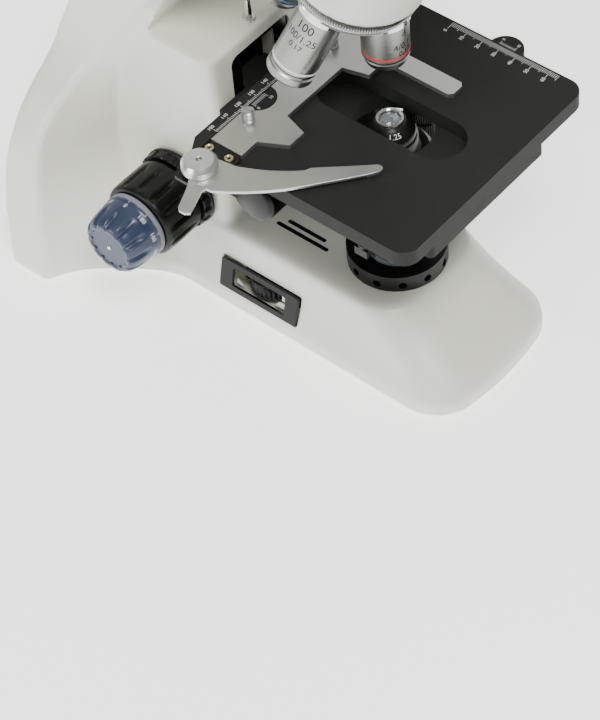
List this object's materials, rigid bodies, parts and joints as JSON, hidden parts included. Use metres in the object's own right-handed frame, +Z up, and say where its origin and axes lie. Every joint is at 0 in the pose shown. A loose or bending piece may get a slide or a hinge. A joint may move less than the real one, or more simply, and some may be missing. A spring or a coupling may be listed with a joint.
{
  "type": "upright compound microscope",
  "caption": "Upright compound microscope with coaxial focus knobs, sliding mechanical stage, focusable condenser, turning objective turret and hinged binocular head.",
  "frame": {"origin": "on the optical axis at table level, under the lamp", "axes": "+Z up along the optical axis, -Y towards the operator, +X to the operator's right"},
  "size_m": [0.2092, 0.2986, 0.3729],
  "materials": {
    "ivory_paint": "satin paint",
    "black_paint": "matt black paint",
    "charcoal_coat": "fine matt coating",
    "black_plastic": "matt",
    "gloss_black": "gloss",
    "slate_plastic": "satin",
    "satin_metal": "satin anodised",
    "steel": "machined",
    "chrome": "polished",
    "brass": "plated",
    "optical_glass": "polished",
    "rubber": "matt"
  },
  "bodies": {
    "stand": {"base_shell": "ivory_paint", "bottom_plate": "black_paint", "rubber_feet": "rubber", "base_screws": "steel", "rear_housing": "ivory_paint", "side_fairing": "ivory_paint", "column": "ivory_paint", "slot_liner": "gloss_black", "arm": "ivory_paint", "nose_housing": "ivory_paint", "lamp_collar": "black_paint", "field_lens": "optical_glass", "lamp_socket": "black_plastic", "dimmer_bezel": "gloss_black", "power_inlet": "black_plastic", "fuse_drawer": "black_plastic"},
    "dimmer": {"dimmer_wheel": "black_plastic"},
    "power_switch": {"rocker_switch": "gloss_black"},
    "height_stop": {"limit_screw": "steel"},
    "torque": {"torque_ring": "black_plastic"},
    "coarse": {"coarse_drive": "steel", "coarse_knobs": "black_plastic"},
    "fine": {"fine_shaft": "steel", "fine_knobs": "slate_plastic"},
    "stage": {"stage_bracket": "charcoal_coat", "lower_plate": "charcoal_coat", "vernier_tab": "charcoal_coat"},
    "stage_table": {"top_plate": "charcoal_coat", "guide_bar": "charcoal_coat"},
    "slide_holder": {"holder_plate": "satin_metal", "hinge_plate": "black_paint", "clip_screws": "brass", "thumb_screws": "black_paint"},
    "slide_clip": {"spring_finger": "satin_metal", "pivot_cap": "chrome"},
    "drive_y": {"stage_drive_y": "black_plastic"},
    "drive_x": {"stage_drive_x": "black_plastic"},
    "condenser": {"condenser_carrier": "black_paint", "condenser_body": "black_paint", "condenser_lens": "optical_glass"},
    "iris": {"iris_ring": "black_paint"},
    "filter_holder": {"filter_tray": "black_plastic"},
    "condenser_drive": {"condenser_knob": "black_plastic"},
    "nosepiece": {"turret": "chrome", "turret_ring": "chrome", "objective_4": "chrome", "objective_10": "chrome", "objective_40": "chrome", "objective_100": "chrome"},
    "clamp_screw": {"head_screw": "steel"},
    "head": {"head_dovetail": "steel", "head_body": "ivory_paint", "hinge_post": "steel"},
    "ocular_left": {"prism_left": "ivory_paint", "tube_left": "chrome", "eyepiece_left": "black_plastic"},
    "ocular_right": {"prism_right": "ivory_paint", "tube_right": "chrome", "eyepiece_right": "black_plastic"},
    "dioptre": {"dioptre_ring": "black_plastic"}
  },
  "joints": [
    {"name": "dimmer_turn", "type": "hinge", "parent": "stand", "child": "dimmer", "pos_m": [-0.0314, 0.0575, 0.022], "axis": [0, 0, 1], "range_deg": [-140, 140]},
    {"name": "switch_rock", "type": "hinge", "parent": "stand", "child": "power_switch", "pos_m": [-0.027, 0.188, 0.036], "axis": [0, 0, 1], "range_deg": [-8, 8]},
    {"name": "stop_turn", "type": "hinge", "parent": "stand", "child": "height_stop", "pos_m": [0, 0.088, 0.17], "axis": [0, 0, 1], "range_deg": [-180, 180]},
    {"name": "torque_turn", "type": "hinge", "parent": "stand", "child": "torque", "pos_m": [-0.045, 0.1097, 0.0655], "axis": [1, 0, 0], "range_deg": [-35, 35]},
    {"name": "coarse_turn", "type": "hinge", "parent": "stand", "child": "coarse", "pos_m": [0, 0.1097, 0.0655], "axis": [1, 0, 0], "range_deg": [-84, 33]},
    {"name": "fine_turn", "type": "hinge", "parent": "stand", "child": "fine", "pos_m": [0, 0.1097, 0.0655], "axis": [1, 0, 0], "continuous": true},
    {"name": "stage_lift", "type": "slide", "parent": "stand", "child": "stage", "axis": [0, 0, 1], "range_m": [-0.005, 0.013]},
    {"name": "table_y", "type": "slide", "parent": "stage", "child": "stage_table", "axis": [0, 1, 0], "range_m": [-0.018, 0.012]},
    {"name": "holder_x", "type": "slide", "parent": "stage_table", "child": "slide_holder", "axis": [1, 0, 0], "range_m": [-0.036, 0.03]},
    {"name": "clip_swing", "type": "hinge", "parent": "slide_holder", "child": "slide_clip", "pos_m": [-0.0852, 0.047, 0.152], "axis": [0, 0, 1], "range_deg": [-28, 0], "stiffness_Nm_per_rad": 0.05, "springref_deg": 8.59},
    {"name": "drive_y_turn", "type": "hinge", "parent": "stage", "child": "drive_y", "pos_m": [0.05, 0.02, 0.11], "axis": [0, 0, 1], "range_deg": [-180, 120]},
    {"name": "drive_x_turn", "type": "hinge", "parent": "stage", "child": "drive_x", "pos_m": [0.05, 0.02, 0.1], "axis": [0, 0, 1], "range_deg": [-350, 350]},
    {"name": "condenser_lift", "type": "slide", "parent": "stage", "child": "condenser", "axis": [0, 0, 1], "range_m": [-0.0065, 0.001]},
    {"name": "iris_turn", "type": "hinge", "parent": "condenser", "child": "iris", "pos_m": [0, 0, 0.102], "axis": [0, 0, 1], "range_deg": [-30, 30]},
    {"name": "filter_swing", "type": "hinge", "parent": "condenser", "child": "filter_holder", "pos_m": [-0.024, 0, 0.072], "axis": [0, 0, 1], "range_deg": [-90, 0]},
    {"name": "condenser_turn", "type": "hinge", "parent": "stage", "child": "condenser_drive", "pos_m": [-0.04, 0.0464, 0.1036], "axis": [1, 0, 0], "range_deg": [-76, 13]},
    {"name": "nosepiece_turn", "type": "hinge", "parent": "stand", "child": "nosepiece", "pos_m": [0, 0, 0.2705], "axis": [0, 0.3469, -0.9379], "continuous": true},
    {"name": "clamp_turn", "type": "hinge", "parent": "stand", "child": "clamp_screw", "pos_m": [0, 0, 0.2973], "axis": [0.866, -0.5, 0], "range_deg": [-180, 180]},
    {"name": "head_turn", "type": "hinge", "parent": "stand", "child": "head", "pos_m": [0, 0, 0.3005], "axis": [0, 0, 1], "range_deg": [-170, 170]},
    {"name": "ocular_left_swing", "type": "hinge", "parent": "head", "child": "ocular_left", "pos_m": [0, -0.02, 0.3385], "axis": [0, -0.866, 0.5], "range_deg": [-31, 14]},
    {"name": "ocular_right_swing", "type": "hinge", "parent": "head", "child": "ocular_right", "pos_m": [0, -0.02, 0.3385], "axis": [0, -0.866, 0.5], "range_deg": [-14, 31]},
    {"name": "dioptre_turn", "type": "hinge", "parent": "ocular_left", "child": "dioptre", "pos_m": [-0.032, -0.02978, 0.32157], "axis": [0, -0.866, 0.5], "range_deg": [-120, 120]}
  ],
  "couplings": [
    {"joint": "coarse_turn", "follows": "stage_lift", "rad_per_m": -111.11},
    {"joint": "drive_y_turn", "follows": "table_y", "rad_per_m": 166.67},
    {"joint": "drive_x_turn", "follows": "holder_x", "rad_per_m": 166.67},
    {"joint": "condenser_turn", "follows": "condenser_lift", "rad_per_m": 200},
    {"joint": "ocular_right_swing", "follows": "ocular_left_swing", "ratio": -1}
  ]
}
